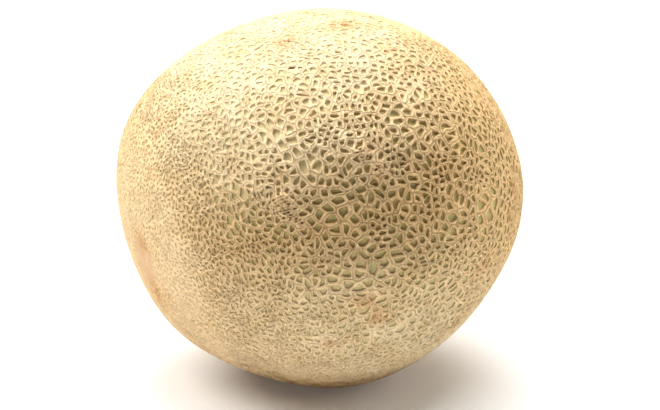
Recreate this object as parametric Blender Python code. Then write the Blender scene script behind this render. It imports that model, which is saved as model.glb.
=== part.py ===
"""Cantaloupe melon: one closed body, lying on its side on a small flat spot.

The body is a slightly squat ovoid. It carries shallow ribs that run from the stem end to the
blossom end, a few broad swellings and flats where the fruit grew unevenly, a dished scar at each
end, and a flat resting spot underneath. Metres, +Z up. The origin is at the bottom, under the
middle of the fruit's box.
"""

import math

import bmesh
import bpy
from mathutils import Matrix, Vector

# Overall half sizes of the plain ovoid
HALF_WIDTH = 0.0777
HALF_DEPTH = 0.0765
HALF_HEIGHT = 0.0743

# The fruit lies with its stem end low on the left and turned a little to the front
STEM_AXIS = Vector((-0.88, -0.41, -0.22)).normalized()

# Shallow ribs from end to end
RIB_COUNT = 10
RIB_HEIGHT = 0.0006
RIB_TURN = math.radians(14.0)
RIB_FADE = 3.0

# Broad shoulders above the middle and a slimmer underside
SHOULDER_AXIS = Vector((-0.02, 0.14, 1.0)).normalized()
SHOULDER_HEIGHT = 0.0011

# Uneven growth: direction from the centre, height (a minus sign is a flat) and spread
SWELLINGS = (
    (Vector((-0.95, 0.10, 0.31)), 0.0025, 0.08),
    (Vector((-0.33, -0.29, -0.90)), -0.0025, 0.09),
    (Vector((0.92, -0.12, -0.38)), -0.0011, 0.07),
    (Vector((0.99, -0.03, -0.09)), 0.0024, 0.07),
    (Vector((-0.37, 0.29, 0.88)), -0.0011, 0.07),
    (Vector((-0.70, -0.22, -0.67)), 0.0019, 0.07),
)

# Round scars at the two ends: a shallow dish of this radius and depth
STEM_SCAR_RADIUS = 0.012
STEM_SCAR_DEPTH = 0.0012
BLOSSOM_SCAR_RADIUS = 0.008
BLOSSOM_SCAR_DEPTH = 0.0006

# Depth of the slice that the flat resting spot takes off the bottom
REST_CUT = 0.0009

# The mesh: meridians from end to end, eight to each rib, and rings across them
MERIDIANS = 8 * RIB_COUNT
RINGS = 40

CORK_COLOUR = (0.62, 0.46, 0.25, 1.0)
CORK_ROUGHNESS = 0.75


def clear_scene():
    """Remove whatever objects the scene holds."""
    for old in list(bpy.data.objects):
        bpy.data.objects.remove(old, do_unlink=True)


def fruit_axes():
    """Rotation whose Z is the stem axis and whose X points at the crest of the first rib."""
    side = STEM_AXIS.cross(Vector((0.0, 0.0, 1.0))).normalized()
    above = side.cross(STEM_AXIS)
    turned = Matrix((above, side, STEM_AXIS)).transposed()
    return turned @ Matrix.Rotation(RIB_TURN, 3, "Z")


def ovoid_radius(direction):
    """Distance from the centre to the plain ovoid's surface along a unit direction."""
    scaled = Vector((direction.x / HALF_WIDTH, direction.y / HALF_DEPTH, direction.z / HALF_HEIGHT))
    return 1.0 / scaled.length


def shoulder_height(direction):
    """Third harmonic of height: fuller above the middle, slimmer below it, flatter on top."""
    height = direction.dot(SHOULDER_AXIS)
    return SHOULDER_HEIGHT * (3.0 * height - 4.0 * height**3)


def rib_height(direction, axes):
    """A cosine around the stem axis, fading out towards both ends."""
    local = axes.transposed() @ direction
    longitude = math.atan2(local.y, local.x)
    across = math.hypot(local.x, local.y)
    return RIB_HEIGHT * across**RIB_FADE * math.cos(RIB_COUNT * longitude)


def swelling_height(direction):
    """Sum of the round swellings and flats, each a bell curve around its own direction."""
    total = 0.0
    for middle, height, spread in SWELLINGS:
        total += height * math.exp((direction.dot(middle.normalized()) - 1.0) / spread)
    return total


def scar_depth(direction, end, radius, depth):
    """A flat-bottomed dish around one end of the fruit, measured along the rind."""
    arc = HALF_WIDTH * direction.angle(end)
    return depth * math.exp(-((arc / radius) ** 4))


def rind_point(direction, axes):
    """The point of the rind in one direction from the fruit's centre."""
    radius = ovoid_radius(direction)
    radius += shoulder_height(direction)
    radius += rib_height(direction, axes)
    radius += swelling_height(direction)
    radius -= scar_depth(direction, STEM_AXIS, STEM_SCAR_RADIUS, STEM_SCAR_DEPTH)
    radius -= scar_depth(direction, -STEM_AXIS, BLOSSOM_SCAR_RADIUS, BLOSSOM_SCAR_DEPTH)
    return direction * radius


def cut_resting_spot(mesh):
    """Slice the bottom off level and close the cut with one flat face."""
    lowest = min(vertex.co.z for vertex in mesh.verts)
    everything = mesh.verts[:] + mesh.edges[:] + mesh.faces[:]
    cut = bmesh.ops.bisect_plane(
        mesh,
        geom=everything,
        plane_co=(0.0, 0.0, lowest + REST_CUT),
        plane_no=(0.0, 0.0, 1.0),
        clear_inner=True,
    )
    rim = [item for item in cut["geom_cut"] if isinstance(item, bmesh.types.BMEdge)]
    spot = bmesh.ops.contextual_create(mesh, geom=rim)["faces"][0]
    spot.smooth = False
    return spot


def stand_on_origin(mesh):
    """Move the body so that its box stands on the origin, centred."""
    xs = [vertex.co.x for vertex in mesh.verts]
    ys = [vertex.co.y for vertex in mesh.verts]
    lowest = min(vertex.co.z for vertex in mesh.verts)
    middle = Vector(((min(xs) + max(xs)) / 2.0, (min(ys) + max(ys)) / 2.0, lowest))
    bmesh.ops.translate(mesh, verts=mesh.verts[:], vec=-middle)


def rind_material():
    """Dry, cream-tan cork."""
    material = bpy.data.materials.new("rind")
    material.use_nodes = True
    shader = material.node_tree.nodes["Principled BSDF"]
    shader.inputs["Base Color"].default_value = CORK_COLOUR
    shader.inputs["Roughness"].default_value = CORK_ROUGHNESS
    shader.inputs["Metallic"].default_value = 0.0
    return material


def make_melon():
    """The whole fruit: a sphere with its poles at the fruit's ends, shaped by rind_point."""
    axes = fruit_axes()
    mesh = bmesh.new()
    bmesh.ops.create_uvsphere(
        mesh,
        u_segments=MERIDIANS,
        v_segments=RINGS,
        radius=1.0,
        matrix=axes.to_4x4(),
    )
    for vertex in mesh.verts:
        vertex.co = rind_point(vertex.co.normalized(), axes)
    for face in mesh.faces:
        face.smooth = True
    cut_resting_spot(mesh)
    stand_on_origin(mesh)
    bmesh.ops.recalc_face_normals(mesh, faces=mesh.faces[:])

    data = bpy.data.meshes.new("melon")
    mesh.to_mesh(data)
    mesh.free()
    data.materials.append(rind_material())
    melon = bpy.data.objects.new("melon", data)
    bpy.context.scene.collection.objects.link(melon)
    return melon


clear_scene()
make_melon()
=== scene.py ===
# %% [markdown]
# # A netted cantaloupe melon
# The packed model gives one plain body, the right size and shape. This script leaves that body
# where it is, hides it, and grows the real rind in its place: an olive skin under a raised net of
# dry cork. The first cell loads the frame and keeps its box, because every place below starts
# there.

import math

import bpy
import numpy as np
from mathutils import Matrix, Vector


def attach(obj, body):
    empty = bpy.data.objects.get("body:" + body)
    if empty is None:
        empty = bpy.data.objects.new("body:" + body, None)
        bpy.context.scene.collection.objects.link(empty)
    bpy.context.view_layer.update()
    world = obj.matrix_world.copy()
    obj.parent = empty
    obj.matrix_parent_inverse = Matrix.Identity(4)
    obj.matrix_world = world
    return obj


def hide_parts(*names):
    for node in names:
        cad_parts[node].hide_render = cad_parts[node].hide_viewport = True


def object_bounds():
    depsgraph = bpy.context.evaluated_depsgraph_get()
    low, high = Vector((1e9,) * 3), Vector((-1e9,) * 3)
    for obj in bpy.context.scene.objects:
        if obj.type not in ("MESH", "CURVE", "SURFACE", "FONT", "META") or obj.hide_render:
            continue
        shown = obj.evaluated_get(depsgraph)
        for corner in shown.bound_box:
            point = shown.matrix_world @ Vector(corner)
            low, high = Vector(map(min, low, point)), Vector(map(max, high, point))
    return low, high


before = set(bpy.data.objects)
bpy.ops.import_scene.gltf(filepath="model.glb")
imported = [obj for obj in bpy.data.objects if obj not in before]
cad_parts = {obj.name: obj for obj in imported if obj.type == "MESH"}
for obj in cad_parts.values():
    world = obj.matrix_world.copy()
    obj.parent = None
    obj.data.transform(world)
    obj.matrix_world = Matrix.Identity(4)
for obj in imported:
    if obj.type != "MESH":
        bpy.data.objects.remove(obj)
cad_box = [[float(value) for value in corner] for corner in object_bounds()]
box_low, box_high = np.array(cad_box)
print("box of the packed melon, mm:", np.round((box_high - box_low) * 1000, 1))

# %% [markdown]
# ## The smooth body under the net
# A melon is nearly an ovoid. It could be modelled by pushing a sphere about by hand, but then
# nothing else could ask where the skin is. Here the body is a formula instead: for any direction
# from the fruit's middle it gives the distance out to the skin. The ovoid comes first. Broad
# shoulders, ten shallow ribs from end to end, a few swellings and flats from uneven growth, and a
# dished scar at each end are added to it. These are the packed body's own terms.

# %% The body's terms
HALF_SIZES = np.array((0.0777, 0.0765, 0.0743))
STEM_AXIS = np.array((-0.88, -0.41, -0.22))
STEM_AXIS /= np.linalg.norm(STEM_AXIS)
RIB_COUNT, RIB_HEIGHT, RIB_TURN, RIB_FADE = 10, 0.0006, math.radians(14.0), 3.0
SHOULDER_AXIS = np.array((-0.02, 0.14, 1.0))
SHOULDER_HEIGHT = 0.0011
# direction, height (a minus sign is a flat), spread
SWELLINGS = (
    ((-0.95, 0.10, 0.31), 0.0025, 0.08),
    ((-0.33, -0.29, -0.90), -0.0025, 0.09),
    ((0.92, -0.12, -0.38), -0.0011, 0.07),
    ((0.99, -0.03, -0.09), 0.0024, 0.07),
    ((-0.37, 0.29, 0.88), -0.0011, 0.07),
    ((-0.70, -0.22, -0.67), 0.0019, 0.07),
)
# radius and depth of the dish at each end
STEM_SCAR, BLOSSOM_SCAR = (0.012, 0.0012), (0.008, 0.0006)
REST_CUT = 0.0009
print("the stem end points to", np.round(STEM_AXIS, 2))

# %% Directions and distances on the rind


def unit(vector):
    """A vector, or a whole array of them, divided by its own length."""
    vector = np.asarray(vector, float)
    return vector / np.linalg.norm(vector, axis=-1, keepdims=True)


def arc_from(direction, end):
    """Distance along the rind from one end: the angle between the two, times the half width."""
    return HALF_SIZES[0] * np.arccos(np.clip(direction @ end, -1.0, 1.0))


def around_stem(direction):
    """Longitude about the stem axis, from the crest of the first rib, and the distance from that
    axis, which is 0 at the two ends of the fruit and 1 half way between them."""
    side = unit(np.cross(STEM_AXIS, (0.0, 0.0, 1.0)))
    above = np.cross(side, STEM_AXIS)
    longitude = np.arctan2(direction @ side, direction @ above) - RIB_TURN
    return longitude, np.sqrt(np.clip(1.0 - (direction @ STEM_AXIS) ** 2, 0.0, 1.0))


print("from the stem to the top, mm:", round(1000 * arc_from(np.array((0.0, 0.0, 1.0)), STEM_AXIS)))

# %% The body's formula


def body_radius(direction):
    """Ovoid radius, plus shoulders (three times the height less four times its cube), plus ribs
    (a cosine of longitude), plus bell-shaped swellings, less the two flat-bottomed scars."""
    radius = 1.0 / np.linalg.norm(direction / HALF_SIZES, axis=-1)
    height = direction @ unit(SHOULDER_AXIS)
    radius += SHOULDER_HEIGHT * (3.0 * height - 4.0 * height**3)
    longitude, across = around_stem(direction)
    radius += RIB_HEIGHT * across**RIB_FADE * np.cos(RIB_COUNT * longitude)
    for middle_at, swell, spread_over in SWELLINGS:
        radius += swell * np.exp((direction @ unit(middle_at) - 1.0) / spread_over)
    for end, (reach, depth) in ((STEM_AXIS, STEM_SCAR), (-STEM_AXIS, BLOSSOM_SCAR)):
        radius -= depth * np.exp(-((arc_from(direction, end) / reach) ** 4))
    return radius


both_ends = body_radius(np.stack([STEM_AXIS, -STEM_AXIS]))
print("from stem scar to blossom scar, mm:", round(1000 * float(both_ends.sum()), 1))

# %% [markdown]
# ## A ball of evenly spaced directions
# A sphere made of rings crowds its points together at two poles, and the net would look different
# there. A cube blown up into a ball has no poles. Each face of the cube is a square grid, and the
# tangent of the grid value spaces the points evenly over the ball. Neighbouring faces share the
# points on their edges, so points with the same whole-number place on the cube are merged, and
# the ball is closed.

# %% The faces of a cube


def cube_grid(size):
    """The six faces of a cube of whole-number points from 0 to size, each face a grid of two
    parameters, with its four-cornered cells wound to face outwards."""
    u, v = np.meshgrid(np.arange(size + 1), np.arange(size + 1), indexing="ij")
    corner = (u[:-1, :-1] * (size + 1) + v[:-1, :-1]).ravel()
    cell = np.stack([corner, corner + size + 1, corner + size + 2, corner + 1], axis=1)
    points, cells = [], []
    for axis in range(3):
        for end in (0, size):
            place = np.empty(u.shape + (3,), np.int64)
            place[..., axis] = end
            place[..., (axis + 1) % 3] = u
            place[..., (axis + 2) % 3] = v
            points.append(place.reshape(-1, 3))
            wound = cell if end else cell[:, ::-1]
            cells.append(wound + u.size * len(cells))
    return np.concatenate(points), np.concatenate(cells)


def merge_same(points, cells, size):
    """Points at the same whole-number place become one, and the cells follow them."""
    key = (points[:, 0] * (size + 1) + points[:, 1]) * (size + 1) + points[:, 2]
    _, first, same = np.unique(key, return_index=True, return_inverse=True)
    return points[first], same[cells]


print("cells on a cube of two by two:", len(cube_grid(2)[1]))

# %% The ball, and the middle of the fruit
GRID = 330

cube_points, cube_cells = merge_same(*cube_grid(GRID), GRID)
ball = unit(np.tan((cube_points / GRID - 0.5) * (np.pi / 2.0)))
smooth = ball * body_radius(ball)[:, None]
low, high = smooth.min(axis=0), smooth.max(axis=0)
middle = (box_low + box_high) / 2.0 - (low + high) / 2.0
middle[2] = box_low[2] - low[2] - REST_CUT
print("points:", len(ball), " middle of the fruit, mm:", np.round(middle * 1000, 1))

# %% [markdown]
# ## How fine the net is, and where
# Cork netting forms where the skin cracks as the fruit swells. Near the stem the skin stretched
# least, so the mesh there is tight and nearly closed. Round the middle it opens into wide cells
# with olive skin between. One number per direction says how many times finer than the widest
# mesh the net is there. The skin is then blown up by that number, and wobbled by slow waves so
# that no cord of the net runs straight. A pattern of even cells laid on this blown-up skin becomes
# a net whose cells change size over the fruit.

# %% How fine the net is
STEM_FINER, STEM_FROM, STEM_TO = 0.62, 16.0, 70.0
BLOSSOM_FINER, BLOSSOM_FROM, BLOSSOM_TO = 0.35, 125.0, 168.0
OPEN_SIDE = unit((0.30, -0.90, 0.30))
AWAY_FINER, AWAY_FROM, AWAY_TO = 0.24, -0.1, 0.9


def ease(value, start, end):
    """0 before start, 1 after end, and between them three t squared less two t cubed."""
    t = np.clip((value - start) / (end - start), 0.0, 1.0)
    return t * t * (3.0 - 2.0 * t)


def fineness(direction):
    """One, plus a term that eases in towards the stem end, plus a smaller one towards the blossom
    end, both by the angle from the stem axis in degrees, plus one away from the open side."""
    from_stem = np.degrees(np.arccos(np.clip(direction @ STEM_AXIS, -1.0, 1.0)))
    stem = STEM_FINER * (1.0 - ease(from_stem, STEM_FROM, STEM_TO))
    blossom = BLOSSOM_FINER * ease(from_stem, BLOSSOM_FROM, BLOSSOM_TO)
    away = AWAY_FINER * (1.0 - ease(direction @ OPEN_SIDE, AWAY_FROM, AWAY_TO))
    return 1.0 + stem + blossom + away


two_sides = fineness(np.stack([STEM_AXIS, OPEN_SIDE]))
print("fineness at the stem and on the open side:", two_sides.round(2))

# %% Slow waves, and the net's own map
WIDEST_MESH = 0.0039
# size, how many waves, shortest and longest wavelength in mesh widths, seed
WOBBLES = (
    (0.30, 8, 4.0, 9.0, 11),
    (0.12, 12, 1.0, 2.2, 12),
    (0.05, 14, 0.45, 0.8, 13),
)


def waves(place, count, shortest, longest, seed):
    """Slow vector waves: a sum of sines, each along its own random direction with its own random
    push, its wavelength between the shortest and the longest, scaled to about 1 overall."""
    random = np.random.default_rng(seed)
    total = np.zeros_like(place)
    for _ in range(count):
        turn = 2.0 * np.pi / random.uniform(shortest, longest)
        along = turn * unit(random.normal(size=3))
        push = unit(random.normal(size=3))
        total += np.sin(place @ along + random.uniform(0.0, 2.0 * np.pi))[:, None] * push
    return total / math.sqrt(count / 2.0)


def net_place(direction):
    """The skin point in widest-mesh units, times the fineness, plus three sizes of wave."""
    place = direction * (body_radius(direction) * fineness(direction) / WIDEST_MESH)[:, None]
    for size, count, shortest, longest, seed in WOBBLES:
        place = place + size * waves(place, count, shortest, longest, seed)
    return place


all_places = net_place(ball)
print("the blown-up skin is", np.round(np.ptp(all_places, axis=0)), "mesh widths across")

# %% [markdown]
# ## Seeds for the cells
# Seed points are strewn over the blown-up skin, and each point of the skin belongs to its nearest
# seed. The borders between the seeds' territories are where the cork grows. A Voronoi texture in
# the material does much the same, but its seeds fill all of space, and a surface that cuts through
# them gets slivers beside great holes. Seeds that lie on the skin itself, each moved twice to the
# middle of its own territory, give the even cells of a real net.

# %% Blocks of space
# width of a block, and how far outside it a seed still matters, in mesh widths
BLOCK, REACH = 2.0, 2.1
# more than the number of blocks along any side, so that each block's key is its own
KEY_STEP = 4096


def blocks(place, seeds):
    """Share the places out into cubes of space, and yield for each cube the places inside it and
    the seeds near enough to matter to them."""
    cube = np.floor(place / BLOCK).astype(np.int64)
    key = (cube[:, 0] * KEY_STEP + cube[:, 1]) * KEY_STEP + cube[:, 2]
    order = np.argsort(key, kind="stable")
    starts = np.flatnonzero(np.diff(key[order], prepend=key.min() - 1))
    for part in np.split(order, starts[1:]):
        far = np.abs(seeds - (cube[part[0]] + 0.5) * BLOCK).max(axis=1)
        yield part, np.flatnonzero(far < BLOCK / 2.0 + REACH)


print("a block is", 1000 * BLOCK * WIDEST_MESH, "mm wide where the net is widest")

# %% Nearest seeds


def squares(places, seeds):
    """Squared distance between every place and every seed: the squares of both lengths, less
    twice their product."""
    both = (places**2).sum(axis=1)[:, None] + (seeds**2).sum(axis=1)
    return np.maximum(both - 2.0 * places @ seeds.T, 0.0)


def nearest_seed(place, seeds):
    """The number of each place's nearest seed."""
    home = np.empty(len(place), np.int64)
    for part, near in blocks(place, seeds):
        home[part] = near[squares(place[part], seeds[near]).argmin(axis=1)]
    return home


def cell_areas(points, cells):
    """Each point's share of the surface: a quarter of every four-cornered cell around it."""
    first, second, third, fourth = (points[cells[:, k]] for k in range(4))
    area = 0.5 * np.linalg.norm(np.cross(third - first, fourth - second), axis=1)
    return np.bincount(cells.ravel(), np.repeat(area / 4.0, 4), len(points))


shares = cell_areas(all_places, cube_cells)
print("area of the blown-up skin, square mesh widths:", round(float(shares.sum())))

# %% Strewing the seeds
TERRITORY = 0.86
ROUNDS = 2
TINY = 1e-12

random = np.random.default_rng(5)
seed_count = int(shares.sum() / TERRITORY)
seeds = all_places[random.choice(len(ball), seed_count, replace=False, p=shares / shares.sum())]
for _ in range(ROUNDS):
    home = nearest_seed(all_places, seeds)
    pull = [np.bincount(home, shares * ball[:, k], seed_count) for k in range(3)]
    seeds = net_place(unit(np.stack(pull, axis=1) + TINY))
print("territories:", seed_count)

# %% [markdown]
# ## Families of cells
# In the real net some cords are thick and double, and others are thin single threads that cross
# the wide cells between them. So the territories are gathered into small families. Some seeds
# lead, and each of the rest joins the nearest leader. Thick double cords run between families,
# and thin ones run inside them.

# %% Gathering families
LEADERS = 0.60

leader = random.random(seed_count) < LEADERS
leaders = np.flatnonzero(leader)
family = np.where(leader, np.arange(seed_count), leaders[nearest_seed(seeds, seeds[leader])])
# each territory's own chances: for its thick cord, its thin cord, its thin cord's height, a spare
whim = random.random((seed_count, 4))
print("families:", len(leaders))

# %% Distances to the borders
SOFT_CORNERS = 15.0


def soft_least(values):
    """A least value that rounds off corners: minus the log of the sum of exponentials."""
    total = np.exp(-SOFT_CORNERS * values).sum(axis=1) + TINY
    return np.maximum(-np.log(total) / SOFT_CORNERS, 0.0)


def borders(place):
    """For each place: its home seed, how far inside its family's border it is, how far inside the
    border with the rest of its own family, and the first of these again with a sign that differs
    on the two sides of the border. The border between two seeds is the plane half way between."""
    home = np.empty(len(place), np.int64)
    outer, inner, signed = np.empty(len(place)), np.empty(len(place)), np.empty(len(place))
    for part, near in blocks(place, seeds):
        square = squares(place[part], seeds[near])
        own = square.argmin(axis=1)
        apart = 2.0 * np.sqrt(squares(seeds[near], seeds[near]))
        np.fill_diagonal(apart, 1.0)
        inside = (square - square.min(axis=1)[:, None]) / apart[own]
        kin = family[near][own][:, None] == family[near]
        outside = np.where(kin, np.inf, inside)
        rival = outside.argmin(axis=1)
        inside[np.arange(len(part)), own] = np.inf
        home[part] = near[own]
        outer[part] = soft_least(outside)
        inner[part] = soft_least(np.where(kin, inside, np.inf))
        signed[part] = outside.min(axis=1) * np.sign(near[rival] - near[own])
    return home, outer, inner, signed


home, outer, inner, _ = borders(all_places)
depth = np.zeros(seed_count)
np.maximum.at(depth, home, np.minimum(outer, inner))
half_widths = np.percentile(depth, (5, 50, 95)) * WIDEST_MESH * 1000
print("half width of a small, a middling and a large cell, mm:", np.round(half_widths, 2))

# %% [markdown]
# ## The net in relief
# In section a thick cord is two round ropes of cork, side by side, with the old crack as a fine
# groove between them. Each territory has its rope just inside its border, and a small territory
# has a thinner rope, so that its pit stays open. A displacement modifier with a texture could
# raise this, but it would need the pattern as an image. Worked out as a height at every point,
# the same numbers also tell the material later what is cork and what is skin.

# %% A cord in section
# place of the crest, as a share of the half width, and depth of the groove
CREST, GROOVE = 0.40, 0.30


def rope(distance, width, groove):
    """Height across half a cord: a dip at the border, 1 on the crest, and 0 from width outward."""
    x = distance / width
    dip = groove * np.clip(1.0 - x / CREST, 0.0, 1.0) ** 2
    fall = 0.5 + 0.5 * np.cos(np.pi * np.clip((x - CREST) / (1.0 - CREST), 0.0, 1.0))
    return fall - dip


print("heights across half a cord:", rope(np.linspace(0.0, 1.0, 6), 1.0, GROOVE).round(2))

# %% Widths of the cords
CLOSING_FROM, CLOSING_TO = 1.45, 1.72
# half width in mesh widths, how much wider where the net closes, how much it changes slowly, and
# the share of its cell that a cord may take: the least, and how much more by the cell's own chance
THICK = (0.31, 0.05, 0.05, 0.70, 0.28)
THIN = (0.23, 0.10, 0.04, 0.56, 0.28)
LEAST_WIDTH = 0.05


def closing(direction):
    """How nearly the net has closed: 0 where it is open, 1 near the stem."""
    return ease(fineness(direction), CLOSING_FROM, CLOSING_TO)


def cord_width(kind, closed, slow, chance, room):
    """Half width of a cord: a plain width, plus more where the net closes, plus a slow change,
    and never past its share of the room in its cell."""
    width, closed_more, slow_more, share, chance_more = kind
    wanted = width + closed_more * closed + slow_more * slow
    return np.maximum(np.minimum(wanted, (share + chance_more * chance) * room), LEAST_WIDTH)


print("share of the rind where the net has closed:", round(float((closing(ball) > 0.5).mean()), 2))

# %% Height of the cork
# how many slow waves, their shortest and longest wavelength, seed
SLOW_CHANGE = (9, 0.10, 0.4, 21)
GROOVE_CLOSES = 0.7
# height of a thin cord, how much higher where the net closes, and by the cell's own chance
THIN_HEIGHT = (0.60, 0.20, 0.35)


def cork_height(direction):
    """Height of the cork, the higher of the thick and the thin cord, from 0 on bare skin to about
    1 on a thick one, and the distances from the grooves in millimetres, without a sign and with
    one."""
    home, outer, inner, signed = borders(net_place(direction))
    closed = closing(direction)
    slow = waves(direction, *SLOW_CHANGE)
    room = depth[home]
    thick_width = cord_width(THICK, closed, slow[:, 0], whim[home, 0], room)
    thin_width = cord_width(THIN, closed, slow[:, 1], whim[home, 1], room)
    thin_height, closed_higher, chance_higher = THIN_HEIGHT
    thin_height = thin_height + closed_higher * closed + chance_higher * whim[home, 2]
    thick = rope(outer, thick_width, GROOVE * (1.0 - GROOVE_CLOSES * closed))
    thin = thin_height * rope(inner, thin_width, 0.0)
    millimetres = 1000.0 * WIDEST_MESH / fineness(direction)
    return np.maximum(thick, thin), outer * millimetres, signed * millimetres


cork, _, _ = cork_height(ball)
print("share of the rind under cork:", round(float((cork > 0.5).mean()), 2))

# %% [markdown]
# ## Scars, knots and cracks
# No fruit is clean. The scar where the stalk came away is smooth, pale and free of net, with
# orange-brown skin beside it. Rough knots of cork stand on the open side, where the cork grew over
# its own pits, and a few short cracks have opened on the top. Each mark is a bell curve around one
# direction, kept as a table, so that another fruit needs only other rows.

# %% Tables of marks
SCAR_RADIUS = 0.0100
# direction, radius, rust colour, height of the rough cork
BLEMISHES = (
    ((-0.88, -0.45, -0.10), 0.0050, 0.80, 0.0000),
    ((-0.82, -0.44, -0.37), 0.0060, 0.80, 0.0000),
    ((0.21, -0.85, 0.49), 0.0026, 0.55, 0.0016),
    ((0.28, -0.87, 0.40), 0.0030, 0.50, 0.0015),
    ((-0.16, -0.95, 0.26), 0.0042, 0.25, 0.0020),
    ((-0.09, -0.97, 0.19), 0.0022, 0.30, 0.0012),
    ((-0.17, -0.34, 0.93), 0.0060, 0.60, 0.0004),
    ((0.12, -0.15, 0.98), 0.0085, 0.65, 0.0004),
    ((0.36, -0.32, 0.87), 0.0030, 0.50, 0.0004),
    ((0.24, -0.94, -0.24), 0.0040, 0.55, 0.0000),
    ((0.30, -0.89, -0.35), 0.0045, 0.55, 0.0000),
    ((0.05, -0.86, -0.50), 0.0028, 0.55, 0.0003),
    ((0.81, -0.55, -0.20), 0.0045, 0.50, 0.0004),
    ((0.94, -0.31, 0.15), 0.0030, 0.50, 0.0000),
    ((0.62, 0.60, 0.50), 0.0050, 0.60, 0.0004),
    ((-0.35, 0.88, 0.20), 0.0040, 0.60, 0.0008),
    ((0.10, 0.95, -0.28), 0.0060, 0.55, 0.0000),
)
# direction, direction that the crack runs in, half length, half width
CRACKS = (
    ((-0.31, -0.32, 0.90), (0.9, 0.8, 0.4), 0.0030, 0.0006),
    ((-0.23, -0.17, 0.96), (1.0, 0.1, 0.1), 0.0020, 0.0006),
    ((-0.14, -0.15, 0.98), (1.0, 0.1, 0.1), 0.0022, 0.0006),
    ((-0.16, -0.33, 0.93), (0.9, -0.4, 0.1), 0.0022, 0.0005),
    ((0.12, -0.15, 0.98), (1.0, 0.0, -0.1), 0.0028, 0.0006),
    ((0.17, -0.06, 0.98), (0.7, 0.8, 0.0), 0.0022, 0.0005),
    ((-0.05, 0.08, 1.00), (0.8, 0.6, 0.0), 0.0020, 0.0005),
    ((-0.13, -0.53, 0.84), (1.0, 0.1, 0.1), 0.0018, 0.0005),
    ((0.33, 0.40, 0.85), (0.9, -0.4, -0.1), 0.0030, 0.0006),
)
print("blemishes:", len(BLEMISHES), " cracks:", len(CRACKS))

# %% Scar and blemishes
# inner and outer edge of the scar's rim, as shares of its radius, and how ragged the rim is
SCAR_RIM, SCAR_RAGGED = (0.72, 1.1), 0.12
# how many waves, their shortest and longest wavelength, seed
RIM_WAVES = (7, 0.05, 0.15, 41)
CRUMB_WAVES = (24, 0.012, 0.028, 51)
CRUMB_MEAN, CRUMB_SWING = 0.65, 0.55
# height of rough cork that hides the net, and how much of a pit it fills
KNOT_HEIGHT, PIT_FILL = 0.0008, 0.8


def scar_amount(direction):
    """1 on the stalk's scar, easing to 0 across a rim made ragged by waves."""
    ragged = 1.0 + SCAR_RAGGED * waves(direction, *RIM_WAVES)[:, 0]
    inside, outside = np.array(SCAR_RIM) * SCAR_RADIUS
    return 1.0 - ease(arc_from(direction, STEM_AXIS) / ragged, inside, outside)


def blemish_amounts(direction):
    """Rust colour from 0 to 1, and the height of rough cork in metres: each a bell curve around
    its own direction, the cork broken into crumbs by short waves."""
    rust, lump = np.zeros(len(direction)), np.zeros(len(direction))
    crumbs = CRUMB_MEAN + CRUMB_SWING * waves(direction, *CRUMB_WAVES)[:, 0]
    for middle_at, radius, colour, height in BLEMISHES:
        bell = np.exp(-((arc_from(direction, unit(middle_at)) / radius) ** 2))
        rust = np.maximum(rust, colour * bell)
        lump = np.maximum(lump, height * bell * crumbs)
    return rust, lump


def filled(height, lump):
    """The cork's height, brought up towards 1 where rough cork has grown over the pits."""
    return height + (1.0 - height) * PIT_FILL * np.clip(lump / KNOT_HEIGHT, 0.0, 1.0)


_, knots = blemish_amounts(unit([row[0] for row in BLEMISHES]))
print("scar, mm across:", 2000 * SCAR_RADIUS)
print("tallest knot, mm:", round(1000 * float(knots.max()), 1))

# %% Cracks
# how far a crack bends, in half widths, and how fast
CRACK_BEND, CRACK_WAVES = 0.3, 4.0
# cosine of the angle past which a direction is on the far side of the fruit
NEAR_SIDE = 0.5


def crack_amount(direction):
    """1 in the middle of a crack: a bell curve, long one way, narrow the other, and wavy."""
    total = np.zeros(len(direction))
    for middle_at, running, half_length, half_width in CRACKS:
        out = unit(middle_at)
        along = unit(np.array(running) - out * (out @ np.array(running)))
        radius = float(body_radius(out[None])[0])
        lengthwise = direction @ along * radius / half_length
        bend = CRACK_BEND * np.sin(CRACK_WAVES * lengthwise)
        crosswise = direction @ np.cross(out, along) * radius / half_width + bend
        shape = np.exp(-(lengthwise**2) - crosswise**2)
        total = np.maximum(total, shape * (direction @ out > NEAR_SIDE))
    return total


crack_middles = crack_amount(unit([row[0] for row in CRACKS]))
print("cracks at full depth:", int((crack_middles > 0.9).sum()))

# %% [markdown]
# ## From heights to a closed rind
# The heights are laid on the smooth body, over a millimetre from pit to crest where the net is
# boldest, half of that round the sides and less where it is fine, and the underside is pressed
# flat where the fruit rests. Over a million triangles come out. Most of them lie on slopes that
# fewer could show, so a Decimate modifier collapses the edges that matter least and keeps the
# crests and the rims of the pits.

# %% Points of the rind
CORK_RISE, MEAN_CORK, CRACK_DEPTH = 0.0015, 0.55, 0.0007
# shares of that rise where the net has closed, and away from the side where it stands boldest
FINE_RISE, LOW_RISE = 0.36, 0.50
BOLD_SIDE, BOLD_FROM, BOLD_TO = unit((0.25, -0.84, 0.48)), 0.72, 0.99
# on the top the cords are worn lower by this share
SOFT_TOP, TOP_FROM, TOP_TO = unit((-0.10, -0.30, 0.95)), 0.75, 1.0
TOP_LOWER = 0.35


def cord_rise(direction):
    """Height of a full cord in metres: the boldest rise, times a share for each of the closed net,
    the scar, which has no cork, the sides away from the boldest, and the worn top."""
    rise = CORK_RISE * (1.0 - (1.0 - FINE_RISE) * closing(direction)) * (1.0 - scar_amount(direction))
    rise = rise * (LOW_RISE + (1.0 - LOW_RISE) * ease(direction @ BOLD_SIDE, BOLD_FROM, BOLD_TO))
    return rise * (1.0 - TOP_LOWER * ease(direction @ SOFT_TOP, TOP_FROM, TOP_TO))


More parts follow.
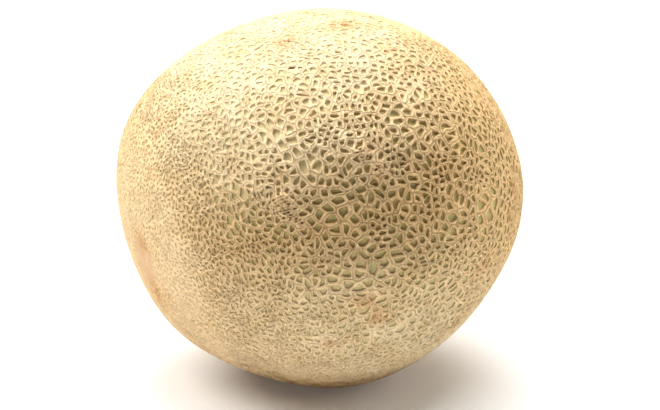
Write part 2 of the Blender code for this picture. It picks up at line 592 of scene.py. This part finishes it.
def rind_points(direction, height):
    """Skin points: the smooth radius, plus the cork about its mean, plus rough cork, less cracks,
    and nothing lower than the floor."""
    _, lump = blemish_amounts(direction)
    radius = body_radius(direction) + cord_rise(direction) * (filled(height, lump) - MEAN_CORK)
    radius = radius + lump - CRACK_DEPTH * crack_amount(direction)
    points = middle + direction * radius[:, None]
    points[:, 2] = np.maximum(points[:, 2], box_low[2])
    return points


fine_points = rind_points(ball, cork)
print("size with the net on, mm:", np.round(np.ptp(fine_points, axis=0) * 1000, 1))

# %% Mesh from arrays


def mesh_from(name, points, cells):
    """A mesh of four-cornered faces from whole arrays."""
    mesh = bpy.data.meshes.new(name)
    mesh.vertices.add(len(points))
    mesh.vertices.foreach_set("co", points.astype(np.float32).ravel())
    mesh.loops.add(cells.size)
    mesh.loops.foreach_set("vertex_index", cells.astype(np.int32).ravel())
    mesh.polygons.add(len(cells))
    mesh.polygons.foreach_set("loop_start", np.arange(0, cells.size, 4, dtype=np.int32))
    mesh.update(calc_edges=True)
    return mesh


def collapsed(mesh, triangles):
    """A copy of a mesh with its least needed edges collapsed until so many triangles are left."""
    carrier = bpy.data.objects.new("carrier", mesh)
    bpy.context.scene.collection.objects.link(carrier)
    thin = carrier.modifiers.new("thin", "DECIMATE")
    thin.ratio = triangles / (2.0 * len(mesh.polygons))
    thin.use_collapse_triangulate = True
    seen = carrier.evaluated_get(bpy.context.evaluated_depsgraph_get())
    result = bpy.data.meshes.new_from_object(seen)
    bpy.data.objects.remove(carrier)
    bpy.data.meshes.remove(mesh)
    return result


def points_of(mesh):
    """The places of a mesh's vertices as an array."""
    places = np.empty(3 * len(mesh.vertices), np.float32)
    mesh.vertices.foreach_get("co", places)
    return places.reshape(-1, 3)


print("triangles before any are collapsed:", 2 * len(cube_cells))

# %% The rind
MOST_TRIANGLES = 198000

rind_mesh = collapsed(mesh_from("fine_rind", fine_points, cube_cells), MOST_TRIANGLES)
rind_mesh.name = "rind"
points_left = points_of(rind_mesh)
points_left[:, 2] = np.maximum(points_left[:, 2], box_low[2])
rind_mesh.vertices.foreach_set("co", points_left.ravel())
rind_mesh.update()
rind_mesh.shade_smooth()
rind = bpy.data.objects.new("rind", rind_mesh)
bpy.context.scene.collection.objects.link(rind)
open_edges = 3 * len(rind_mesh.polygons) - 2 * len(rind_mesh.edges)
print("triangles:", len(rind_mesh.polygons), " open edges:", open_edges)

# %% [markdown]
# ## What the material needs to know
# The material has to tell skin from cork, and to know where the old cracks run. It could guess both
# from the slope of the mesh, but the formulas know them exactly. So they are worked out once more at
# the points that are left, and each is kept on the mesh as one number per vertex, under a name that
# the material reads. Three more numbers say where painted light and tints go on the rind: where it is
# painted paler and lit, where it is warm from its own colour and from painted bounce light, and where
# it turns a darker orange-brown towards the bottom.

# %% Numbers kept on the rind
outward = unit(points_of(rind_mesh) - middle)
relief, from_groove, across_groove = cork_height(outward)
rust, lump = blemish_amounts(outward)


def store(mesh, name, values):
    """Keep one number per vertex under a name that the material can read."""
    layer = mesh.attributes.new(name, "FLOAT", "POINT")
    layer.data.foreach_set("value", np.ascontiguousarray(values, np.float32))
    print(name, "from", round(float(values.min()), 2), "to", round(float(values.max()), 2))


store(rind_mesh, "relief", filled(relief, lump))
store(rind_mesh, "from_groove", from_groove)
store(rind_mesh, "across_groove", across_groove)
store(rind_mesh, "closed", closing(outward))
store(rind_mesh, "scar", scar_amount(outward))
store(rind_mesh, "crack", crack_amount(outward))
store(rind_mesh, "rust", rust)
store(rind_mesh, "rough_cork", np.clip(lump / KNOT_HEIGHT, 0.0, 1.0))

# %% Where the rind is pale and lit, warm and bounce-lit, or darker below
# direction, cosine of the angle from it where the tint starts, and where it is full
# painted light: the top is painted paler where the lamps fall strongest, and the bottom paler as
# painted light bounced from the floor
LAMP_LIT_TOP = (unit((-0.22, -0.40, 0.88)), 0.45, 0.98)
FLOOR_LIT_BOTTOM = (unit((0.15, -0.50, -0.85)), 0.30, 0.95)
# partly the rind's own orange-tan by the stem, partly painted warm light bounced from below
WARM_AND_BOUNCE_SIDE = (unit((-0.60, -0.40, -0.70)), 0.45, 1.0)
# darker orange-brown towards the bottom
UNDERSIDE = (np.array((0.0, 0.0, -1.0)), 0.72, 0.93)
FLOOR_LIT_PALENESS, CLOSED_PALENESS = 0.95, 0.5


def on_side(direction, side):
    """1 around one direction, easing to 0 by the cosine of the angle from it."""
    towards, start, full = side
    return ease(direction @ towards, start, full)


def pale_and_painted_light(direction):
    """1 where the cork is painted paler: the greatest of the top, painted light where the lamps fall,
    a little less underneath, painted light bounced from the floor, and half as much where the net has
    closed, where the cork is paler of its own."""
    bottom = FLOOR_LIT_PALENESS * on_side(direction, FLOOR_LIT_BOTTOM)
    closed = CLOSED_PALENESS * closing(direction)
    return np.maximum(np.maximum(on_side(direction, LAMP_LIT_TOP), bottom), closed)


store(rind_mesh, "pale_and_lit_side", pale_and_painted_light(outward))
store(rind_mesh, "warm_and_bounce_side", on_side(outward, WARM_AND_BOUNCE_SIDE))
store(rind_mesh, "underside_brown", on_side(outward, UNDERSIDE))

# %% [markdown]
# ## A flat map for baking
# A game or a web page can't run these nodes, so for them the finish has to be baked to a picture, and
# that needs a flat map of the rind. Smart UV Project would cut it into hundreds of islands along the
# net. The ball was a cube to begin with, so the map is that cube's six faces, laid out three across
# and two down, each with a small gap round it.

# %% The map
MAP_FILL = 0.96


def cube_map(corners):
    """Places on the map for the corners of triangles. A triangle goes to the face of the cube that
    its middle points at, and each corner's place there is its angle from that face's middle."""
    middles = corners.mean(axis=1)
    axis = np.abs(middles).argmax(axis=1)
    upper = np.take_along_axis(middles, axis[:, None], axis=1)[:, 0] > 0.0
    turned = [((axis + turn) % 3)[:, None, None] for turn in range(3)]
    ahead, across, down = (np.take_along_axis(corners, pick, axis=2)[..., 0] for pick in turned)
    place = np.stack([np.arctan(across / np.abs(ahead)), np.arctan(down / np.abs(ahead))], axis=-1)
    place = 0.5 + MAP_FILL * place / (np.pi / 2.0)
    place[..., 0] = (axis[:, None] + place[..., 0]) / 3.0
    place[..., 1] = (upper[:, None] + place[..., 1]) / 2.0
    return place.astype(np.float32)


corner_vertices = np.empty(len(rind_mesh.loops), np.int32)
rind_mesh.loops.foreach_get("vertex_index", corner_vertices)
rind_map = cube_map(outward[corner_vertices].reshape(-1, 3, 3))
rind_mesh.uv_layers.new(name="OFBake").uv.foreach_set("vector", rind_map.ravel())
print("map from", rind_map.min(axis=(0, 1)).round(2), "to", rind_map.max(axis=(0, 1)).round(2))

# %% [markdown]
# ## Short calls for nodes
# A material is a graph of nodes, and a graph built in the editor can't be read as text. Built in
# code it is a list of sentences, once each kind of node has a short call of its own. A number given
# to a call is set on the node's socket, and another node's output is wired to it.

# %% Node calls


class Paint:
    """A material, its shader, and calls that add one node each."""

    def __init__(self, name):
        self.material = bpy.data.materials.new(name)
        self.material.use_nodes = True
        self.tree = self.material.node_tree
        self.shader = self.tree.nodes["Principled BSDF"]
        self.here = self.add("TexCoord", {}, {}).outputs["Object"]

    def feed(self, socket, value):
        """Wire another node's output to a socket, or set a plain value on it."""
        if isinstance(value, bpy.types.NodeSocket):
            self.tree.links.new(value, socket)
        else:
            socket.default_value = value

    def add(self, kind, settings, values):
        """Add a node with its own settings, and feed its sockets by name or by number."""
        node = self.tree.nodes.new("ShaderNode" + kind)
        for name, value in settings.items():
            setattr(node, name, value)
        for socket, value in values.items():
            self.feed(node.inputs[socket], value)
        return node

    def maths(self, operation, first, second=0.0):
        """One sum, product, difference or absolute value."""
        return self.add("Math", {"operation": operation}, {0: first, 1: second}).outputs[0]

    def times(self, first, *others):
        """The product of two or more values."""
        for other in others:
            first = self.maths("MULTIPLY", first, other)
        return first

    def spread(self, value, low_in, high_in, low_out=0.0, high_out=1.0):
        """Bring one range smoothly onto another."""
        values = {0: value, 1: low_in, 2: high_in, 3: low_out, 4: high_out}
        return self.add("MapRange", {"interpolation_type": "SMOOTHSTEP"}, values).outputs[0]

    def blend(self, amount, first, second):
        """A mix of two colours."""
        return self.add("Mix", {"data_type": "RGBA"}, {0: amount, 6: first, 7: second}).outputs[2]

    def noise(self, size, detail=2.0, roughness=0.5):
        """Noise whose blotches are about the given size in metres, fixed to the object."""
        values = {"Vector": self.here, "Scale": 1.0 / size, "Detail": detail, "Roughness": roughness}
        return self.add("TexNoise", {}, values).outputs[0]

    def kept(self, name):
        """A number kept on the mesh."""
        return self.add("Attribute", {"attribute_name": name}, {}).outputs["Fac"]

    def finish(self, colour, roughness, height):
        """Feed the shader its colour, its roughness and, through a Bump node, its fine relief."""
        bump = self.add("Bump", {}, {"Height": height, "Distance": 1.0, "Strength": 1.0})
        self.feed(self.shader.inputs["Base Color"], colour)
        self.feed(self.shader.inputs["Roughness"], roughness)
        self.feed(self.shader.inputs["Normal"], bump.outputs[0])
        print(self.material.name, "has", len(self.tree.nodes), "nodes")


print("calls:", ", ".join(name for name in vars(Paint) if not name.startswith("_")))

# %% [markdown]
# ## The look of skin and cork
# Bare skin is olive-green where the fruit is least ripe and tan where the net has closed. Cork is dry
# and matt. Low on the sides of a cord it is painted dark brown, which is painted shade in the pits,
# and on its crest it is painted pale, partly the rubbed cork's own colour and partly a painted
# highlight. A picture of a rind would fix all this at one place and one size.
# Here the height of the cork picks the colour, and noise of four sizes breaks every edge, so the
# finish follows the relief.

# %% Colours
GREEN_SKIN = (0.535, 0.470, 0.205, 1.0)
TAN_SKIN = (0.600, 0.435, 0.210, 1.0)
# painted shade: the low sides of the cords are painted dark brown for the shade in the pits
PAINTED_WALL_SHADE = (0.420, 0.250, 0.090, 1.0)
CORK = (0.715, 0.490, 0.235, 1.0)
# crest colour: partly the rubbed cork's paler colour, partly a painted highlight
CREST_CORK_AND_HIGHLIGHT = (0.850, 0.625, 0.345, 1.0)
# groove colour: partly the old crack's brown, partly painted shade in the fine groove
GROOVE_BROWN_AND_SHADE = (0.400, 0.220, 0.080, 1.0)
# painted light on the top and bottom, and the closed net's own paler cork
PALE_AND_LIT_CORK = (0.900, 0.790, 0.560, 1.0)
# partly the rind's own orange-tan, partly painted warm bounce light
WARM_AND_BOUNCE_CORK = (0.880, 0.660, 0.410, 1.0)
# darker orange-brown towards the bottom
UNDERSIDE_BROWN = (0.620, 0.360, 0.140, 1.0)
RUST = (0.560, 0.270, 0.090, 1.0)
SCAR_SKIN = (0.660, 0.450, 0.270, 1.0)
CRACK_BROWN = (0.160, 0.085, 0.030, 1.0)

# %% Patterns on the rind
# size in metres, detail, roughness
BLOTCHES, PATCHES = (0.012, 3.0, 0.6), (0.005, 2.0, 0.6)
FIBRES, GRAINS = (0.0019, 3.0, 0.6), (0.0008, 3.0, 0.65)

rind_paint = Paint("netted_rind")
relief_at = rind_paint.kept("relief")
closed_at = rind_paint.kept("closed")
rough_at = rind_paint.kept("rough_cork")
blotch = rind_paint.noise(*BLOTCHES)
patchy = rind_paint.noise(*PATCHES)
fibre = rind_paint.noise(*FIBRES)
grain = rind_paint.noise(*GRAINS)
print("nodes for the patterns:", len(rind_paint.tree.nodes))

# %% Skin, painted shade on the sides, and crests
# heights of the cork between which each colour comes in
WALL_SHADE_HEIGHTS, CORK_HEIGHTS, CREST_HEIGHTS = (0.04, 0.30), (0.22, 0.62), (0.80, 1.35)
# range of the noise, and what it is brought onto
RIPE_BLOTCHES = (0.42, 0.68, 0.0, 0.55)
CLOSED_WALL_SHADE = 0.6
FIBRE_WEAR_AND_HIGHLIGHT, KNOT_WEAR_AND_HIGHLIGHT = 0.5, 0.3

ripe = rind_paint.maths("ADD", closed_at, rind_paint.spread(blotch, *RIPE_BLOTCHES))
skin = rind_paint.blend(ripe, GREEN_SKIN, TAN_SKIN)
# painted shade: dark brown low on the sides of the cords, where the pits are shaded
wall_shade_on = rind_paint.times(
    rind_paint.spread(relief_at, *WALL_SHADE_HEIGHTS),
    rind_paint.spread(closed_at, 0.0, 1.0, 1.0, CLOSED_WALL_SHADE),
)
cork_on = rind_paint.spread(relief_at, *CORK_HEIGHTS)
# the crest colour comes in by height, fibres and knots: partly wear, partly a painted highlight
worn = rind_paint.maths("ADD", relief_at, rind_paint.times(fibre, FIBRE_WEAR_AND_HIGHLIGHT))
worn = rind_paint.maths("ADD", worn, rind_paint.times(rough_at, KNOT_WEAR_AND_HIGHLIGHT))
crest_and_highlight_on = rind_paint.spread(worn, *CREST_HEIGHTS)
colour = rind_paint.blend(wall_shade_on, skin, PAINTED_WALL_SHADE)
colour = rind_paint.blend(cork_on, colour, CORK)
colour = rind_paint.blend(crest_and_highlight_on, colour, CREST_CORK_AND_HIGHLIGHT)
print("nodes for skin and cork:", len(rind_paint.tree.nodes))

# %% [markdown]
# ## Tints and painted light over the net
# A melon is not one colour all round, and some of these tints are painted light. The top is painted
# paler, painted light where the lamps fall strongest, and the bottom paler, painted light bounced
# from the floor; where the net has closed the cork is paler of its own. The lower side towards the
# stem is warmer, partly the rind's own orange-tan and partly painted warm bounce light. Towards the
# bottom the colour turns a darker orange-brown. Each tint is laid over the colour so far, by the
# numbers kept on the mesh, and broken up by noise so that no tint has an edge.

# %% Pale and lit, warm and bounce-lit, and darker parts below
# range of the noise, and how much of the tint it lets through
PALE_BLOTCHES, WARM_BLOTCHES = (0.30, 0.65, 0.35, 0.72), (0.35, 0.65, 0.25, 0.75)
UNDERSIDE_PATCHES = (0.30, 0.65, 0.30, 0.80)
# range of the cork's height, and how much of the pale tint it lets through: less on bare skin
PALE_HEIGHTS = (0.10, 0.60, 0.70, 1.0)

# painted light: paler top and bottom where the lamps and the floor light the fruit, and the closed
# net's own paler cork
pale_and_lit = rind_paint.times(
    rind_paint.kept("pale_and_lit_side"),
    rind_paint.spread(blotch, *PALE_BLOTCHES),
    rind_paint.spread(relief_at, *PALE_HEIGHTS),
)
# partly the rind's own orange-tan, partly painted warm bounce light
warm_and_bounce = rind_paint.times(
    rind_paint.kept("warm_and_bounce_side"),
    rind_paint.spread(blotch, *WARM_BLOTCHES),
)
# darker orange-brown towards the bottom
browner_below = rind_paint.times(
    rind_paint.kept("underside_brown"),
    rind_paint.spread(patchy, *UNDERSIDE_PATCHES),
)
colour = rind_paint.blend(pale_and_lit, colour, PALE_AND_LIT_CORK)
colour = rind_paint.blend(warm_and_bounce, colour, WARM_AND_BOUNCE_CORK)
colour = rind_paint.blend(browner_below, colour, UNDERSIDE_BROWN)
print("nodes with the tints:", len(rind_paint.tree.nodes))

# %% [markdown]
# ## Grooves and marks
# The groove down the middle of a double cord is a few tenths of a millimetre wide, finer than the
# mesh. The distance across it is kept with a sign, so it passes cleanly through nothing on the
# groove's own line, even in the middle of a triangle, and the material paints the line there in
# brown: partly the old crack's own colour, partly painted shade in the groove. A cord is not split
# everywhere, so patches of noise rub parts of the line out.

# %% Grooves
# millimetres from the middle of the line where it is full and where it ends, and the same for the
# distance from the border, which keeps the line out of the cells
GROOVE_LINE, GROOVE_NEAR = (0.07, 0.26), (0.30, 0.55)
# where patches rub the line out, and the height of the cork that is split
GROOVE_PATCHES, GROOVE_HEIGHTS = (0.32, 0.58, 0.25, 1.0), (0.35, 0.60)
GROOVE_PAINTED_SHADE, CLOSED_GROOVE = 0.36, 0.5

across = rind_paint.maths("ABSOLUTE", rind_paint.kept("across_groove"))
groove = rind_paint.times(
    rind_paint.spread(across, *GROOVE_LINE, 1.0, 0.0),
    rind_paint.spread(rind_paint.kept("from_groove"), *GROOVE_NEAR, 1.0, 0.0),
    rind_paint.spread(patchy, *GROOVE_PATCHES),
    rind_paint.spread(relief_at, *GROOVE_HEIGHTS),
    rind_paint.spread(closed_at, 0.0, 1.0, 1.0, CLOSED_GROOVE),
)
# the groove line is painted brown: partly the crack's own colour, partly painted shade
colour = rind_paint.blend(rind_paint.times(groove, GROOVE_PAINTED_SHADE), colour, GROOVE_BROWN_AND_SHADE)
print("nodes with the grooves:", len(rind_paint.tree.nodes))

# %% Specks, scar, rust and cracks
# range of the noise, and how much of the rust colour it lets through
SPECK_FIBRES, SPECK_PATCHES = (0.60, 0.72, 0.0, 0.5), (0.45, 0.65)
RUST_FIBRES = (0.30, 0.65, 0.35, 1.0)
SCAR_COVER, CRACK_COVER = 0.85, (0.25, 0.75, 0.0, 0.9)
# range of the finest noise, and how far it darkens and lightens the colour
GRAIN_RANGE, GRAIN_SHADES = (0.2, 0.8), (0.86, 1.12)

specks = rind_paint.times(
    rind_paint.spread(fibre, *SPECK_FIBRES),
    rind_paint.spread(patchy, *SPECK_PATCHES),
)
rusty = rind_paint.times(
    rind_paint.kept("rust"),
    rind_paint.spread(fibre, *RUST_FIBRES),
)
scarred = rind_paint.times(rind_paint.kept("scar"), SCAR_COVER)
cracked = rind_paint.spread(rind_paint.kept("crack"), *CRACK_COVER)
colour = rind_paint.blend(specks, colour, RUST)
colour = rind_paint.blend(scarred, colour, SCAR_SKIN)
colour = rind_paint.blend(rusty, colour, RUST)
colour = rind_paint.blend(cracked, colour, CRACK_BROWN)
shade = rind_paint.spread(grain, *GRAIN_RANGE, *GRAIN_SHADES)
colour = rind_paint.add("HueSaturation", {}, {"Value": shade, "Color": colour}).outputs[0]
print("nodes with the marks:", len(rind_paint.tree.nodes))

# %% [markdown]
# ## Gloss and fine relief
# Skin has a faint waxy sheen, and cork has none. The mesh carries the cords, and Bump adds what is
# finer than its triangles: grain everywhere, fibres and grooves on the cords, and crumbs on the
# knots. The heights are in metres, so that the bumps are as deep as the real ones.

# %% Gloss and bump
SKIN_ROUGH, CORK_ROUGH, DRY_SHEEN = 0.55, 0.80, 0.14
GRAIN_ROUGH = (-0.06, 0.08)
# heights of the cork over which the skin's finish gives way to the cork's
ROUGH_HEIGHTS, FIBRE_HEIGHTS = (0.05, 0.35), (0.1, 0.6)
GRAIN_DEEP, FIBRE_DEEP, SKIN_FIBRE_DEEP = 0.00022, 0.00060, 0.00002
CRUMB_DEEP, GROOVE_DEEP = 0.0007, 0.00032

rough = rind_paint.maths(
    "ADD",
    rind_paint.spread(relief_at, *ROUGH_HEIGHTS, SKIN_ROUGH, CORK_ROUGH),
    rind_paint.spread(grain, *GRAIN_RANGE, *GRAIN_ROUGH),
)
fibre_depth = rind_paint.spread(relief_at, *FIBRE_HEIGHTS, SKIN_FIBRE_DEEP, FIBRE_DEEP)
fibres = rind_paint.times(fibre, fibre_depth)
crumbs = rind_paint.times(rough_at, fibre, CRUMB_DEEP)
bumps = rind_paint.maths("ADD", rind_paint.times(grain, GRAIN_DEEP), fibres)
bumps = rind_paint.maths("ADD", bumps, crumbs)
bumps = rind_paint.maths("SUBTRACT", bumps, rind_paint.times(groove, GROOVE_DEEP))
rind_paint.shader.inputs["Specular IOR Level"].default_value = DRY_SHEEN
rind_paint.finish(colour, rough, bumps)
rind_mesh.materials.append(rind_paint.material)

# %% [markdown]
# ## On the frame
# The rind is the whole fruit: one piece that grew as one. It rides on the only body there is and
# stands for the plain melon, which is hidden but stays for collisions.

# %% Ride on the frame
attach(rind, "root")
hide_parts("melon")
print("box of the rind, mm:", np.round(np.ptp(points_of(rind_mesh), axis=0) * 1000, 1))

# %% [markdown]
# ## Camera
# The camera stands a little over a metre away with a long lens, so that the fruit shows no
# wide-angle bulge, and looks down a little. Its aim is set from the fruit's middle, so it would
# still frame a fruit of another size.

# %% The camera
ELEVATION = math.radians(18.0)
DISTANCE = 1.2
PICTURE_WIDTH = 0.2588
AIM_RIGHT, AIM_DOWN = 0.0041, 0.0033

towards_camera = np.array((0.0, -math.cos(ELEVATION), math.sin(ELEVATION)))
picture_up = np.array((0.0, math.sin(ELEVATION), math.cos(ELEVATION)))
aim = middle + AIM_RIGHT * np.array((1.0, 0.0, 0.0)) - AIM_DOWN * picture_up
camera = bpy.data.objects.new("camera", bpy.data.cameras.new("camera"))
camera.location = aim + towards_camera * DISTANCE
camera.rotation_euler = (math.pi / 2.0 - ELEVATION, 0.0, 0.0)
camera.data.lens = camera.data.sensor_width * DISTANCE / PICTURE_WIDTH
bpy.context.scene.collection.objects.link(camera)
bpy.context.scene.camera = camera
print("lens, mm:", round(camera.data.lens, 1))

# %% [markdown]
# ## Floor
# One large level sheet of white studio paper. A curved backdrop would do as well, but the fruit
# needs only something to stand on. The paper has a faint mottle in its colour and gloss, hardly
# any grain, and a slight glow of its own, as a sheet lit from behind has, which softens the
# shadow.

# %% The floor's mesh
FLOOR_HALF = 3.0

corners = [(-FLOOR_HALF, -FLOOR_HALF, 0.0), (FLOOR_HALF, -FLOOR_HALF, 0.0)]
corners += [(FLOOR_HALF, FLOOR_HALF, 0.0), (-FLOOR_HALF, FLOOR_HALF, 0.0)]
floor_mesh = bpy.data.meshes.new("floor")
floor_mesh.from_pydata(corners, [], [(0, 1, 2, 3)])
floor = bpy.data.objects.new("floor", floor_mesh)
bpy.context.scene.collection.objects.link(floor)
print("floor, m across:", 2 * FLOOR_HALF)

# %% The floor's finish
PAPER, PAPER_SHADE = (0.90, 0.90, 0.90, 1.0), (0.88, 0.88, 0.875, 1.0)
MOTTLE_RANGE, PAPER_ROUGH = (0.3, 0.7), (0.75, 0.85)
MOTTLE_SIZE, WEAVE_SIZE, WEAVE_DEEP = 0.05, 0.002, 0.00001
FLOOR_GLOW = 0.10

paper_paint = Paint("white_paper")
mottle = paper_paint.noise(MOTTLE_SIZE)
paper_colour = paper_paint.blend(mottle, PAPER, PAPER_SHADE)
paper_rough = paper_paint.spread(mottle, *MOTTLE_RANGE, *PAPER_ROUGH)
weave = paper_paint.times(paper_paint.noise(WEAVE_SIZE), WEAVE_DEEP)
paper_paint.finish(paper_colour, paper_rough, weave)
paper_paint.shader.inputs["Emission Color"].default_value = PAPER
paper_paint.shader.inputs["Emission Strength"].default_value = FLOOR_GLOW
floor_mesh.materials.append(paper_paint.material)

# %% [markdown]
# ## Light
# Three soft boxes: one high on the left, a wide one overhead and a little behind, and one low on
# the right. The side that faces the camera has no light of its own and is lit by the white floor
# and a dim sky, so the middle of the fruit is its darkest part. The display's gamma is a little
# below one, which deepens shadows as print does.

# %% The lights
LOOK_AT = (0.0, 0.0, 0.07)
# name, place, width, watts
SOFT_BOXES = (
    ("left", (-0.86, -0.04, 1.04), 0.8, 17.8),
    ("overhead", (0.12, 0.22, 1.40), 1.2, 30.8),
    ("right", (1.60, 0.50, 0.60), 1.2, 15.0),
)


def soft_box(name, place, width, watts):
    """A square light that looks at the fruit."""
    light = bpy.data.lights.new(name, "AREA")
    light.shape = "SQUARE"
    light.size = width
    light.energy = watts
    box = bpy.data.objects.new(name, light)
    box.location = place
    box.rotation_euler = (Vector(place) - Vector(LOOK_AT)).to_track_quat("Z", "Y").to_euler()
    bpy.context.scene.collection.objects.link(box)
    print(name, "soft box:", watts, "W")


for row in SOFT_BOXES:
    soft_box(*row)

# %% The sky and the display
SKY_WHITE = (1.0, 1.0, 1.0, 1.0)
SKY_STRENGTH = 0.12
DISPLAY_GAMMA, DISPLAY_EXPOSURE = 0.86, -0.15

sky = bpy.data.worlds.new("sky")
sky.use_nodes = True
sky.node_tree.nodes["Background"].inputs["Color"].default_value = SKY_WHITE
sky.node_tree.nodes["Background"].inputs["Strength"].default_value = SKY_STRENGTH
bpy.context.scene.world = sky
bpy.context.scene.view_settings.view_transform = "Standard"
bpy.context.scene.view_settings.gamma = DISPLAY_GAMMA
bpy.context.scene.view_settings.exposure = DISPLAY_EXPOSURE
print("display gamma:", DISPLAY_GAMMA)

# %% [markdown]
# ## Last look at the size
# The plain body's box is printed at the start, and the finished rind's where it rides on the frame.
